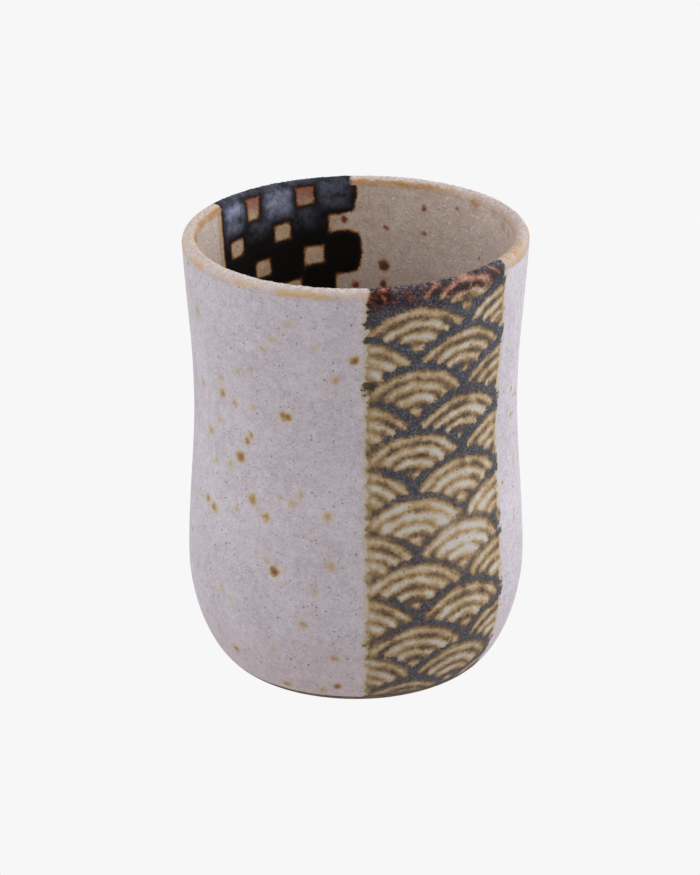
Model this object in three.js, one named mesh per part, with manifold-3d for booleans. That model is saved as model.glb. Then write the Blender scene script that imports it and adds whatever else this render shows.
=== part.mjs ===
// A tall stoneware tea cup with a slight waist: a clay body in three pieces under fired glaze coats,
// an iron band of overlapping wave fans outside and an iron band of checks inside.
// Millimetres, +Z up, with the foot's resting face on z = 0 and the cup's axis on x = y = 0.
// Azimuths are degrees from -Y, near the wave band, towards +X.

import * as THREE from "three";
import { mergeVertices } from "three/addons/utils/BufferGeometryUtils.js";
import Module from "manifold-3d";

// Outside of the finished cup
const cupHeight = 90.2;
const rimRadius = 34;
const rimFlare = 0.05; // outward slope of the wall under the lip
const waistInset = 1.8; // how far the waist is drawn in from the rim
const waistHeight = 55;
const bellyInset = 0.1;
const bellyHeight = 22.2;
const footInset = 9.8; // from the rim to the edge of the flat that the cup stands on
const lowerFullness = 0.485; // how far the curve from foot to belly bulges
const waistEase = 0.3; // how long the wall runs straight at belly, waist and lip
const flareEase = 0.42;

// Inside of the finished cup
const lipThickness = 3;
const lipRise = 1.6; // height of the lip's rounding
const wallThickness = 3.6;
const floorHeight = 7;
const floorRadius = 13; // flat middle of the floor
const wellFullness = 0.55; // how tightly the wall turns into the floor

// Foot
const footHeight = 2; // bare clay below the glaze
const footWidth = 4.2; // flat ring round the hollow underside

// Fired layers
const glazeThickness = 0.4;
const slipThickness = 0.2; // iron painted over the glaze
const seatGap = 0.05; // clearance between a layer and what it lies on
const lipOutside = 2.2; // how far the lip's own glaze comes down outside
const lipInside = 1.8;

// Wave band: staggered columns of fans, each of three strokes round a core
const waveStartAngle = 3.5;
const waveEndAngle = 57.5;
const fanAngle = 20.5; // middle of the column that carries the top fan
const fanSpacing = 21.4; // between fans of one row
const fanRowSpacing = 6.7; // between staggered rows
const crownDrop = 4; // from the rim down to the top of the highest whole fan
const fanRadius = 12.7; // to the outer edge of its outer stroke
const fanMargin = 1.2; // iron left round a fan
const strokeCount = 3;
const strokeSpacing = 2.4;
const strokeWidth = 1.6;
const coreRadius = 5; // top of the small core below the strokes
const bandBorder = 0.6; // iron kept along the band's edges

// Check band: staggered iron squares that leave pale windows
const checkStartAngle = 174;
const checkEndAngle = 239.5;
const checkFirstAngle = 188; // first square of the top row
const checkDrop = 3.2; // from the rim down to the middle of the top row
const checkSpacingAround = 5.9;
const checkSpacingUp = 6.25;
const checkWindow = 4.3;
const checkBulge = 0.4; // outward bow of a square's sides
const checkLeanAngle = 1.5; // degrees that each lower row is turned towards the band's start
const checkRows = 6;

// Dark lip over each band
const ironLipStartAngle = 181;
const ironLipEndAngle = 240.5;

// Facets
const turnSteps = 36; // round the cup
const lowerSteps = 4; // from foot to belly
const wallSteps = 2; // from belly to waist, and from waist to lip
const lipSteps = 4; // an even count, so that one facet edge runs along the crest
const innerSteps = 1; // each stretch of the inner wall
const wellSteps = 3; // from the inner wall to the floor
const strokeTurnAngle = 38; // most degrees of a stroke's half arc to each pair of straight lengths
const coreSteps = 1; // pairs of straight lengths along the core's top
const checkSteps = 2; // along each side of a square
const halvings = 40; // when a curve is searched for a height

const wasm = await Module();
wasm.setup();

const degree = Math.PI / 180;
const quarterTurn = 90;
const fullTurn = 360;
const waistRadius = rimRadius - waistInset;
const bellyRadius = rimRadius - bellyInset;
const footRadius = rimRadius - footInset;
const claySkin = glazeThickness + seatGap; // depth of the clay under the finished surface
const shoulderHeight = cupHeight - lipRise;
const bandRadius = (rimRadius + waistRadius) / 2; // where the wave band's widths are measured
const checkRadius = bandRadius - (lipThickness + wallThickness) / 2;

// Section of the cup as curves in the half plane (radius, height), from the foot over the lip to the floor

const point = (radius, height) => new THREE.Vector2(radius, height);
const curve = (...points) => new THREE.CubicBezierCurve(...points);

const flareRun = shoulderHeight - waistHeight;
const waistRun = waistHeight - bellyHeight;
const innerWaist = waistRadius - wallThickness;
const innerBelly = bellyRadius - wallThickness;
const innerRim = rimRadius - lipThickness;
const wellRun = bellyHeight - floorHeight;

const lowerCurve = curve(
  point(footRadius, 0),
  point(footRadius + lowerFullness * (bellyRadius - footRadius), 0),
  point(bellyRadius, bellyHeight * (1 - lowerFullness)),
  point(bellyRadius, bellyHeight),
);
const sideCurve = curve(
  point(bellyRadius, bellyHeight),
  point(bellyRadius, bellyHeight + waistEase * waistRun),
  point(waistRadius, waistHeight - waistEase * waistRun),
  point(waistRadius, waistHeight),
);
const flareCurve = curve(
  point(waistRadius, waistHeight),
  point(waistRadius, waistHeight + flareEase * flareRun),
  point(rimRadius - rimFlare * flareEase * flareRun, shoulderHeight - flareEase * flareRun),
  point(rimRadius, shoulderHeight),
);
const lipCurve = new THREE.EllipseCurve(
  rimRadius - lipThickness / 2, shoulderHeight, lipThickness / 2, lipRise, 0, Math.PI,
);
const innerFlareCurve = curve(
  point(innerRim, shoulderHeight),
  point(innerRim - rimFlare * flareEase * flareRun, shoulderHeight - flareEase * flareRun),
  point(innerWaist, waistHeight + flareEase * flareRun),
  point(innerWaist, waistHeight),
);
const innerSideCurve = curve(
  point(innerWaist, waistHeight),
  point(innerWaist, waistHeight - waistEase * waistRun),
  point(innerBelly, bellyHeight + waistEase * waistRun),
  point(innerBelly, bellyHeight),
);
const wellCurve = curve(
  point(innerBelly, bellyHeight),
  point(innerBelly, bellyHeight - wellFullness * wellRun),
  point(floorRadius + (1 - wellFullness) * (innerBelly - floorRadius), floorHeight),
  point(floorRadius, floorHeight),
);
const floorLine = new THREE.LineCurve(point(floorRadius, floorHeight), point(0, floorHeight));

// Share of a rising or falling curve at which it passes a height
function shareAt(path, height) {
  const rises = path.getPoint(1).y > path.getPoint(0).y;
  let low = 0;
  let high = 1;
  for (let halving = 0; halving < halvings; halving += 1) {
    const middle = (low + high) / 2;
    if (path.getPoint(middle).y < height === rises) {
      low = middle;
    } else {
      high = middle;
    }
  }
  return low;
}

// A stretch of the section, which gives its points at any depth below the finished surface
function stretch(path, steps, from = 0, to = 1) {
  return (depth) => Array.from({ length: steps + 1 }, (_, step) => {
    const share = from + (to - from) * step / steps;
    const along = path.getTangent(share);
    const inward = point(-along.y, along.x);
    return path.getPoint(share).addScaledVector(inward, depth);
  });
}

const chain = (depth, ...stretches) =>
  stretches.flatMap((points, place) => points(depth).slice(place > 0 ? 1 : 0));

const glazeStart = shareAt(lowerCurve, footHeight + seatGap);
const lipEdge = cupHeight - lipOutside;
const innerLipEdge = cupHeight - lipInside;

const lower = stretch(lowerCurve, lowerSteps, glazeStart);
const side = stretch(sideCurve, wallSteps);
const flare = stretch(flareCurve, wallSteps);
const flareBelowLip = stretch(flareCurve, wallSteps, 0, shareAt(flareCurve, lipEdge - seatGap));
const lipOuterFace = stretch(flareCurve, 1, shareAt(flareCurve, lipEdge));
const lip = stretch(lipCurve, lipSteps);
const lipInnerFace = stretch(innerFlareCurve, 1, 0, shareAt(innerFlareCurve, innerLipEdge));
const innerFlare = stretch(innerFlareCurve, innerSteps);
const innerGlazeStart = shareAt(innerFlareCurve, innerLipEdge - seatGap);
const innerFlareBelowLip = stretch(innerFlareCurve, innerSteps, innerGlazeStart);
const innerSide = stretch(innerSideCurve, innerSteps);
const well = stretch(wellCurve, wellSteps);
const floor = stretch(floorLine, 1);

// Turned and cut solids

const turned = (points) => new THREE.LatheGeometry(points, turnSteps).rotateX(Math.PI / 2);

function ring(points) {
  return turned([...points, points[0]]);
}

// A layer between two depths along some stretches
function layer(near, far, ...stretches) {
  return ring([...chain(near, ...stretches), ...chain(far, ...stretches).reverse()]);
}

function solidOf(geometry) {
  const bare = geometry.clone();
  bare.deleteAttribute("normal");
  bare.deleteAttribute("uv");
  const merged = mergeVertices(bare);
  return new wasm.Manifold(new wasm.Mesh({
    numProp: 3,
    vertProperties: new Float32Array(merged.attributes.position.array),
    triVerts: new Uint32Array(merged.index.array),
  }));
}

function geometryOf(solid) {
  const faces = solid.getMesh();
  const geometry = new THREE.BufferGeometry();
  geometry.setAttribute("position", new THREE.BufferAttribute(faces.vertProperties, 3));
  geometry.setIndex(new THREE.BufferAttribute(faces.triVerts, 1));
  geometry.computeVertexNormals();
  return geometry;
}

// A pie slice that takes in everything between two azimuths and two heights
function slice(from, to, low = -cupHeight, high = 2 * cupHeight) {
  const pie = new THREE.Shape();
  pie.absarc(0, 0, 2 * rimRadius, (from - quarterTurn) * degree, (to - quarterTurn) * degree, false);
  pie.lineTo(0, 0);
  const geometry = new THREE.ExtrudeGeometry(pie, { depth: high - low, bevelEnabled: false });
  return solidOf(geometry.translate(0, 0, low));
}

// A flat outline pressed straight out from the cup's axis, with its origin at an azimuth and a height
function stamp(shape, azimuth, height, curveSegments) {
  const settings = { depth: 2 * rimRadius, bevelEnabled: false, curveSegments };
  const geometry = new THREE.ExtrudeGeometry(shape, settings);
  geometry.rotateX(Math.PI / 2);
  geometry.translate(0, 0, height);
  geometry.rotateZ(azimuth * degree);
  return solidOf(geometry);
}

// Wave fans

// Half angle at which a stroke of this radius meets the margin of the two fans that overlap it
function strokeReach(radius) {
  const across = radius * fanSpacing;
  const down = 2 * radius * fanRowSpacing;
  const clear = fanRadius + fanMargin;
  const rest = radius ** 2 + (fanSpacing / 2) ** 2 + fanRowSpacing ** 2 - clear ** 2;
  return Math.asin(rest / Math.hypot(across, down)) + Math.atan2(down, across);
}

function strokeShape(radius) {
  const reach = strokeReach(radius);
  const shape = new THREE.Shape();
  shape.absarc(0, 0, radius + strokeWidth / 2, Math.PI / 2 - reach, Math.PI / 2 + reach, false);
  shape.absarc(0, 0, radius - strokeWidth / 2, Math.PI / 2 + reach, Math.PI / 2 - reach, true);
  return shape;
}

function coreShape() {
  const reach = strokeReach(coreRadius);
  const clear = fanRadius + fanMargin;
  const tip = Math.sqrt(clear ** 2 - (fanSpacing / 2) ** 2) - fanRowSpacing;
  const shape = new THREE.Shape();
  shape.absarc(0, 0, coreRadius, Math.PI / 2 - reach, Math.PI / 2 + reach, false);
  shape.lineTo(0, tip);
  return shape;
}

function fanCuts(azimuth, crown) {
  const middle = crown - fanRadius;
  const cuts = [stamp(coreShape(), azimuth, middle, coreSteps)];
  for (let stroke = 0; stroke < strokeCount; stroke += 1) {
    const radius = fanRadius - strokeWidth / 2 - stroke * strokeSpacing;
    const halfSteps = Math.ceil(strokeReach(radius) / (strokeTurnAngle * degree));
    cuts.push(stamp(strokeShape(radius), azimuth, middle, halfSteps));
  }
  return cuts;
}

function waveBand() {
  const columnStep = fanSpacing / 2 / bandRadius / degree;
  const edge = bandBorder / bandRadius / degree;
  const cuts = [];
  const firstColumn = Math.floor((waveStartAngle - fanAngle) / columnStep);
  const lastColumn = Math.ceil((waveEndAngle - fanAngle) / columnStep);
  for (let column = firstColumn; column <= lastColumn; column += 1) {
    const highest = cupHeight - crownDrop + (column % 2 === 0 ? 0 : fanRowSpacing);
    for (let crown = highest; crown > footHeight; crown -= 2 * fanRowSpacing) {
      cuts.push(...fanCuts(fanAngle + column * columnStep, crown));
    }
  }
  const lowest = footHeight + bandBorder;
  const window = slice(waveStartAngle + edge, waveEndAngle - edge, lowest, lipEdge - bandBorder);
  const skin = solidOf(layer(-seatGap - slipThickness, -seatGap, lower, side, flareBelowLip));
  const band = skin.intersect(slice(waveStartAngle, waveEndAngle));
  return geometryOf(band.subtract(wasm.Manifold.union(cuts).intersect(window)));
}

// Checks

function checkShape() {
  const half = checkSpacingAround - checkWindow / 2;
  const tall = checkSpacingUp - checkWindow / 2;
  const shape = new THREE.Shape();
  shape.moveTo(-half, -tall);
  shape.quadraticCurveTo(0, -tall - 2 * checkBulge, half, -tall);
  shape.quadraticCurveTo(half + 2 * checkBulge, 0, half, tall);
  shape.quadraticCurveTo(0, tall + 2 * checkBulge, -half, tall);
  shape.quadraticCurveTo(-half - 2 * checkBulge, 0, -half, -tall);
  return shape;
}

function checkBand() {
  const step = checkSpacingAround / checkRadius / degree;
  const squares = [];
  for (let row = 0; row < checkRows; row += 1) {
    const height = cupHeight - checkDrop - row * checkSpacingUp;
    const first = checkFirstAngle - row * checkLeanAngle + (row % 2) * step;
    for (let azimuth = first; azimuth < checkEndAngle + step; azimuth += 2 * step) {
      squares.push(stamp(checkShape(), azimuth, height, checkSteps));
    }
  }
  const skin = solidOf(layer(-seatGap - slipThickness, -seatGap, innerFlareBelowLip, innerSide));
  const band = skin.intersect(slice(checkStartAngle, checkEndAngle));
  return geometryOf(band.intersect(wasm.Manifold.union(squares)));
}

// Lip glaze between two azimuths, short of its neighbours by the seat gap
function lipArc(from, to) {
  const gap = seatGap / rimRadius / degree;
  const whole = solidOf(layer(0, glazeThickness, lipOuterFace, lip, lipInnerFace));
  return geometryOf(whole.intersect(slice(from + gap, to - gap)));
}

// Clay: a ring foot, a base up to the belly and the wall that stands on it

function footRing() {
  const outerSide = stretch(lowerCurve, 2, 0, shareAt(lowerCurve, footHeight))(0);
  const hollow = footRadius - footWidth;
  outerSide[outerSide.length - 1].y = footHeight;
  return ring([point(hollow, 0), ...outerSide, point(hollow, footHeight)]);
}

function clayBase() {
  const outerSide = lower(claySkin);
  const inside = chain(claySkin, well, floor);
  const foot = point(outerSide[0].x, footHeight);
  outerSide[outerSide.length - 1].set(bellyRadius - claySkin, bellyHeight);
  inside[0].set(innerBelly + claySkin, bellyHeight);
  return turned([point(0, footHeight), foot, ...outerSide, ...inside]);
}

function clayWall() {
  const section = chain(claySkin, side, flare, lip, innerFlare, innerSide);
  section[0].set(bellyRadius - claySkin, bellyHeight);
  section[section.length - 1].set(innerBelly + claySkin, bellyHeight);
  return ring(section);
}

// Glaze coats

function outerGlaze() {
  return layer(0, glazeThickness, lower, side, flareBelowLip);
}

function innerGlaze() {
  const coat = [innerFlareBelowLip, innerSide, well, floor];
  return turned([...chain(glazeThickness, ...coat).reverse(), ...chain(0, ...coat)]);
}

// Assembly

const finish = (color, roughness) => new THREE.MeshStandardMaterial({ color, roughness, metalness: 0 });

function mesh(name, geometry, material) {
  const piece = new THREE.Mesh(geometry, material);
  piece.name = name;
  return piece;
}

const cup = new THREE.Group();
cup.name = "tea_cup";
cup.add(
  mesh("foot_ring", footRing(), finish(0x6b5140, 0.9)),
  mesh("clay_base", clayBase(), finish(0x8a7664, 0.9)),
  mesh("clay_wall", clayWall(), finish(0x8c7866, 0.9)),
  mesh("outer_glaze", outerGlaze(), finish(0xaaa2a9, 0.6)),
  mesh("inner_glaze", innerGlaze(), finish(0x9f8f89, 0.6)),
  mesh("wave_band", waveBand(), finish(0x48464b, 0.55)),
  mesh("check_band", checkBand(), finish(0x24232a, 0.5)),
  mesh("lip_iron_front", lipArc(waveStartAngle, waveEndAngle), finish(0x3d2a24, 0.7)),
  mesh("lip_ochre_right", lipArc(waveEndAngle, ironLipStartAngle), finish(0xb09880, 0.75)),
  mesh("lip_iron_back", lipArc(ironLipStartAngle, ironLipEndAngle), finish(0x2e2422, 0.7)),
  mesh("lip_ochre_left", lipArc(ironLipEndAngle, waveStartAngle + fullTurn), finish(0xb49f8c, 0.75)),
);

export default cup;
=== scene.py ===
import math
from functools import partial

import bpy
from mathutils import Matrix, Vector
from mathutils.geometry import interpolate_bezier


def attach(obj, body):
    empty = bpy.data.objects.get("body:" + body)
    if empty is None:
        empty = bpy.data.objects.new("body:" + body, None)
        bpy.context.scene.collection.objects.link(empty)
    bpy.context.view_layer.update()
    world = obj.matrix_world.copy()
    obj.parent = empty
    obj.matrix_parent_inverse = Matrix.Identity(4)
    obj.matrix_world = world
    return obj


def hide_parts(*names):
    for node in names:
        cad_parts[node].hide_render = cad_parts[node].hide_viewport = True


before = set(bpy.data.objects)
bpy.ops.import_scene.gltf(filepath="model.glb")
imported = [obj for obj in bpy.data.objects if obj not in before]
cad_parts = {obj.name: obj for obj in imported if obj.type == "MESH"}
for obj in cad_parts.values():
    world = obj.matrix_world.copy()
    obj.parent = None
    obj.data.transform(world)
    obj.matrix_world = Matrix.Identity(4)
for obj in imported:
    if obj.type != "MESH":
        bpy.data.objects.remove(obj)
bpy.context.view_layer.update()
scene = bpy.context.scene
mm = 0.001
degree = math.pi / 180
print("stage 1: frame loaded,", len(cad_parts), "nodes")


# Helpers

nodeFamilies = ("ShaderNode", "GeometryNode", "FunctionNode", "")
secondWords = {  # the setting that the word after a kind gives, where it isn't the operation
    "Attribute": "attribute_name", "MapRange": "interpolation_type", "Mix": "data_type", "RandomValue": "data_type",
    "SampleIndex": "data_type", "StoreNamedAttribute": "data_type", "InputNamedAttribute": "data_type",
}


def toLinear(hexColour):  # sRGB hex to the linear colour that Blender wants
    parts = [int(hexColour[place:place + 2], 16) / 255 for place in (1, 3, 5)]
    return [part / 12.92 if part <= 0.04045 else ((part + 0.055) / 1.055) ** 2.4 for part in parts] + [1.0]


def addNode(tree, kind, *values, links=None, stops=None, **settings):  # capitals alone name a math node's work
    kind, *word = ("Math " + kind if kind.isupper() else kind).split()
    node = tree.nodes.new(next(family + kind for family in nodeFamilies if hasattr(bpy.types, family + kind)))
    if word:
        settings[secondWords.get(kind, "operation")] = word[0]
    for name, value in settings.items():
        setattr(node, name, value)
    if stops:  # a colour ramp's places and colours
        ramp = node.color_ramp
        ramp.elements.remove(ramp.elements[1])
        for order, (place, tone) in enumerate(stops.items()):
            stop = ramp.elements[0] if order == 0 else ramp.elements.new(place)
            stop.position = place
            stop.color = toLinear(tone)
    shown = [socket for socket in node.inputs if socket.enabled]
    wanted = [(shown[place], value) for place, value in enumerate(values)]
    wanted += [(node.inputs[name], value) for name, value in (links or {}).items()]
    for socket, value in wanted:
        if isinstance(value, bpy.types.Node):
            value = next(output for output in value.outputs if output.enabled)
        if isinstance(value, bpy.types.NodeSocket):
            tree.links.new(value, socket)
        elif value is not None:
            socket.default_value = toLinear(value) if str(value).startswith("#") else value
    return node


def newTree(name, sizes):  # a geometry tree with one named input for each size
    tree = bpy.data.node_groups.new(name, "GeometryNodeTree")
    tree.interface.new_socket("Geometry", in_out="OUTPUT", socket_type="NodeSocketGeometry")
    for label, kind in sizes.items():
        tree.interface.new_socket(label, in_out="INPUT", socket_type="NodeSocket" + kind)
    add = partial(addNode, tree)
    return tree, add, add("NodeGroupInput").outputs


def inputKinds(sizes):  # counts are whole numbers, lengths, angles and shares are not
    return {name: "Int" if isinstance(value, int) else "Float" for name, value in sizes.items()}


def makePiece(name, tree, sizes):  # runs a tree on an empty mesh and keeps the result as a plain mesh
    piece = bpy.data.objects.new(name, bpy.data.meshes.new(name))
    scene.collection.objects.link(piece)
    turning = piece.modifiers.new(name, "NODES")
    turning.node_group = tree
    for item in tree.interface.items_tree:
        if item.in_out == "INPUT":
            turning[item.identifier] = sizes[item.name]
    piece.update_tag()
    bpy.context.view_layer.update()
    evaluated = piece.evaluated_get(bpy.context.evaluated_depsgraph_get())
    mesh = bpy.data.meshes.new_from_object(evaluated)
    piece.modifiers.remove(turning)
    piece.data = mesh
    mesh.name = name
    mesh.calc_loop_triangles()
    print("  ", name, len(mesh.loop_triangles), "triangles")
    return piece


# What several trees share

def uneven(add, where, often, detail, rough):  # noise about nought
    return add("SUBTRACT", add("TexNoise", where, often, detail, rough), 0.5)


def shaken(add, where, often, rough, depth, ways=(1.0, 1.0, 1.0)):  # a place that noise moves about
    shift = add("TexNoise", where, often, 2.0, rough).outputs["Color"]
    shift = add("VectorMath SUBTRACT", shift, (0.5, 0.5, 0.5))
    shift = add("VectorMath MULTIPLY", shift, ways)
    return add("VectorMath ADD", where, add("VectorMath SCALE", shift, depth))


def limited(add, amount, along, *ramp):  # an amount that grows or fades along another value
    return add("MULTIPLY", amount, add("MapRange", along, *ramp))


def nearness(add, where, place, reach, most, full=0.0):  # the most at a place, nothing beyond a reach
    return add("MapRange SMOOTHSTEP", add("VectorMath DISTANCE", where, place), reach, full, 0.0, most)


def raised(add, sheet, height):
    return add("SetPosition", sheet, True, None, add("VectorMath SCALE", add("InputNormal"), height))


def tinted(add, amount, colour, tint):
    return add("Mix RGBA", amount, colour, add("VectorMath MULTIPLY", colour, tint))


def grains(add, where, cell, channel, chance, size, edge, most):  # a round grain in some of the cells
    spot = add("TexVoronoi", where, 1 / cell)
    luck = add("SeparateColor", spot.outputs["Color"]).outputs[channel]
    room = add("SUBTRACT", add("MapRange", luck, chance, 1.0, *size), spot.outputs["Distance"])
    return add("MapRange SMOOTHSTEP", room, *edge, 0.0, most)


# The cup's section, the same curves and sizes as the CAD

cupShape = {
    "height": 90.2 * mm,
    "rimRadius": 34 * mm,
    "rimFlare": 0.05,
    "waistRadius": 32.2 * mm,
    "waistHeight": 55 * mm,
    "bellyRadius": 33.9 * mm,
    "bellyHeight": 22.2 * mm,
    "footRadius": 24.2 * mm,
    "lowerFullness": 0.485,
    "waistEase": 0.3,
    "flareEase": 0.42,
    "lipThickness": 3 * mm,
    "lipRise": 1.6 * mm,
    "wallThickness": 3.6 * mm,
    "floorHeight": 7 * mm,
    "floorRadius": 13 * mm,
    "wellFullness": 0.55,
    "footHeight": 2 * mm,
    "footWidth": 4.2 * mm,
    "footBevel": 0.4 * mm,
    "claySkin": 0.45 * mm,    # depth of the clay under the finished surface
    "lipOutside": 2.2 * mm,   # the lip's own glaze, down from the crest
    "lipInside": 1.8 * mm,
    "curveSteps": 48,
}
quarterHandle = 0.5523  # the usual handle length for a quarter of an ellipse


def sectionPieces(cup):
    rim, waist, belly, foot = cup["rimRadius"], cup["waistRadius"], cup["bellyRadius"], cup["footRadius"]
    crest, bellyHeight, waistHeight = cup["height"], cup["bellyHeight"], cup["waistHeight"]
    floor, flat, full = cup["floorHeight"], cup["floorRadius"], cup["lowerFullness"]
    shoulder = crest - cup["lipRise"]
    flare = cup["flareEase"] * (shoulder - waistHeight)
    ease = cup["waistEase"] * (waistHeight - bellyHeight)
    lean = cup["rimFlare"] * flare
    halfLip = cup["lipThickness"] / 2
    innerRim, innerWaist = rim - cup["lipThickness"], waist - cup["wallThickness"]
    innerBelly = belly - cup["wallThickness"]
    drop = cup["wellFullness"] * (bellyHeight - floor)
    lipSide, lipTop = shoulder + quarterHandle * cup["lipRise"], quarterHandle * halfLip
    wellTurn = flat + (1 - cup["wellFullness"]) * (innerBelly - flat)
    return [(foot, 0)], [  # where it starts, then two handles and an end for each piece
        [(foot + full * (belly - foot), 0), (belly, bellyHeight * (1 - full)), (belly, bellyHeight)],
        [(belly, bellyHeight + ease), (waist, waistHeight - ease), (waist, waistHeight)],
        [(waist, waistHeight + flare), (rim - lean, shoulder - flare), (rim, shoulder)],
        [(rim, lipSide), (rim - halfLip + lipTop, crest), (rim - halfLip, crest)],
        [(rim - halfLip - lipTop, crest), (innerRim, lipSide), (innerRim, shoulder)],
        [(innerRim - lean, shoulder - flare), (innerWaist, waistHeight + flare), (innerWaist, waistHeight)],
        [(innerWaist, waistHeight - ease), (innerBelly, bellyHeight + ease), (innerBelly, bellyHeight)],
        [(innerBelly, bellyHeight - drop), (wellTurn, floor), (flat, floor)],
        [(flat * 2 / 3, floor), (flat / 3, floor), (0, floor)],
    ]


def sectionPoints(cup):
    last, pieces = sectionPieces(cup)
    points = []
    for piece in pieces:
        corners = [Vector((radius, 0, height)) for radius, height in last + piece]
        points += interpolate_bezier(*corners, cup["curveSteps"])[1 if points else 0:]
        last = piece[-1:]
    return points


def lengthsAlong(points):
    lengths = [0.0]
    for before, after in zip(points, points[1:]):
        lengths.append(lengths[-1] + (after - before).length)
    return lengths


def lengthAt(height, inside=False):  # how far along the section it passes a height
    crossings = []
    for place in range(len(section) - 1):
        low, high = section[place].z, section[place + 1].z
        if min(low, high) <= height < max(low, high):
            share = (height - low) / (high - low)
            crossings.append(along[place] + share * (along[place + 1] - along[place]))
    return crossings[-1] if inside else crossings[0]


def radiusOn(height, inside=False):
    place = lengthAt(height, inside)
    return next(point.x for point, length in zip(section, along) if length >= place)


def onWall(azimuth, height, inside=False):  # a place on the wall, from degrees and millimetres
    radius = radiusOn(height * mm, inside)
    return radius * math.sin(azimuth * degree), -radius * math.cos(azimuth * degree), height * mm


def insetSection(points, depth):  # the section's points moved into the clay
    moved = []
    for place, point in enumerate(points):
        run = (points[min(place + 1, len(points) - 1)] - points[max(place - 1, 0)]).normalized()
        moved.append(point - depth * Vector((run.z, 0, -run.x)))
    return moved


def stretch(points, start, stop):  # the points between two lengths along the section
    return [point for point, length in zip(points, along) if start <= length <= stop]


def drawSection(name, points):
    line = bpy.data.curves.new(name, "CURVE")
    line.dimensions = "3D"
    spline = line.splines.new("POLY")
    spline.points.add(len(points) - 1)
    for spot, point in zip(spline.points, points):
        spot.co = (*point, 1)
    drawn = bpy.data.objects.new(name, line)
    scene.collection.objects.link(drawn)
    return drawn


section = sectionPoints(cupShape)
along = lengthsAlong(section)
sectionLine = drawSection("cupSection", section)
crestLength = along[max(range(len(section)), key=lambda place: section[place].z)]
footTop, footBevel = cupShape["footHeight"], cupShape["footBevel"]
glazeFoot = lengthAt(footTop)
lipFrom = lengthAt(cupShape["height"] - cupShape["lipOutside"])
lipTo = lengthAt(cupShape["height"] - cupShape["lipInside"], inside=True)
outerBelly, innerBelly = [lengthAt(cupShape["bellyHeight"], inside) for inside in (False, True)]
footHollow = cupShape["footRadius"] - cupShape["footWidth"]
footStart = Vector((footHollow + footBevel, 0, 0))
footInside = [(radiusOn(footTop), 0, footTop), (footHollow, 0, footTop), (footHollow, 0, footBevel)]
body = insetSection(section, cupShape["claySkin"])
lowerSide = stretch(body, glazeFoot, outerBelly)
underside = [Vector((radius, 0, footTop)) for radius in (0, lowerSide[0].x)]
wallSide = stretch(body, outerBelly, innerBelly)
clayLines = {  # outline of each clay piece
    "footRing": [footStart, *stretch(section, 0, glazeFoot), *map(Vector, footInside), footStart],
    "clayBase": underside + lowerSide + stretch(body, innerBelly, along[-1]),
    "clayWall": wallSide + wallSide[:1],
}
print("stage 2: section drawn,", round(along[-1] / mm, 1), "mm from foot to floor")


# Geometry trees

hand = {  # what the thrower's hands and the fire left
    "RimTilt": 0.7 * mm,       # the right side of the rim stands higher than the left
    "WobbleDepth": 0.22 * mm,
    "WobbleSize": 38 * mm,
    "ReliefDepth": 0.06 * mm,  # shallow dimples in the coat
    "ReliefSize": 2.6 * mm,
}
tiltGrowth = 3.0  # the tilt grows with this power of the height
weld = {"sheet": 0.002 * mm, "coat": 0.001 * mm}  # points nearer than this become one
sharpFrom = 50 * degree  # edges that turn more than this stay crisp
skinSizes = {"Section": "Object", "Columns": "Int", "Rows": "Int", **inputKinds(hand)}
for name in ("StartAngle", "EndAngle", "StartLength", "EndLength", "CrestLength", "RimRadius", "Height"):
    skinSizes[name] = "Float"


def turnedSkin():  # a sheet turned round the axis along a stretch of the section
    tree, add, size = newTree("turnedSkin", skinSizes)
    grid = add("MeshGrid", 1.0, 1.0, size["Columns"], size["Rows"])
    place = add("SeparateXYZ", add("InputPosition")).outputs
    angle = add("MapRange", place["X"], -0.5, 0.5, size["StartAngle"], size["EndAngle"], clamp=False)
    length = add("MapRange", place["Y"], -0.5, 0.5, size["StartLength"], size["EndLength"], clamp=False)
    line = add("GeometryNodeObjectInfo", size["Section"]).outputs["Geometry"]
    point = add("SampleCurve", line, None, length, mode="LENGTH", use_all_curves=True)
    flat = add("SeparateXYZ", point.outputs["Position"]).outputs
    sideways = add("MULTIPLY", flat["X"], add("SINE", angle))
    ahead = add("MULTIPLY", flat["X"], add("COSINE", angle))
    turned = add("CombineXYZ", sideways, add("MULTIPLY", ahead, -1.0), flat["Z"])
    crestGap = add("SUBTRACT", length, size["CrestLength"])
    sheet = add("StoreNamedAttribute", grid, True, "turnAngle", angle)
    sheet = add("StoreNamedAttribute", sheet, True, "crestGap", crestGap)
    sheet = add("SetPosition", sheet, True, turned)
    sheet = add("MergeByDistance", sheet, True, weld["sheet"])

    here = add("InputPosition")
    spread = add("SeparateXYZ", here).outputs
    across = add("DIVIDE", spread["X"], size["RimRadius"])
    rise = add("MULTIPLY", add("MULTIPLY", across, 0.5), size["RimTilt"])
    share = add("DIVIDE", spread["Z"], size["Height"])
    rise = add("MULTIPLY", rise, add("POWER", share, tiltGrowth))
    wave = uneven(add, here, add("DIVIDE", 1.0, size["WobbleSize"]), 1.0, 0.4)
    swell = add("MULTIPLY", wave, size["WobbleDepth"])
    outward = add("VectorMath NORMALIZE", add("CombineXYZ", spread["X"], spread["Y"]))
    push = add("VectorMath SCALE", outward, swell)
    push = add("VectorMath ADD", push, add("CombineXYZ", 0.0, 0.0, rise))
    sheet = add("SetPosition", sheet, True, None, push)

    dimple = uneven(add, add("InputPosition"), add("DIVIDE", 1.0, size["ReliefSize"]), 2.0, 0.5)
    add("NodeGroupOutput", raised(add, sheet, add("MULTIPLY", dimple, size["ReliefDepth"])))
    return tree


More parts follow.
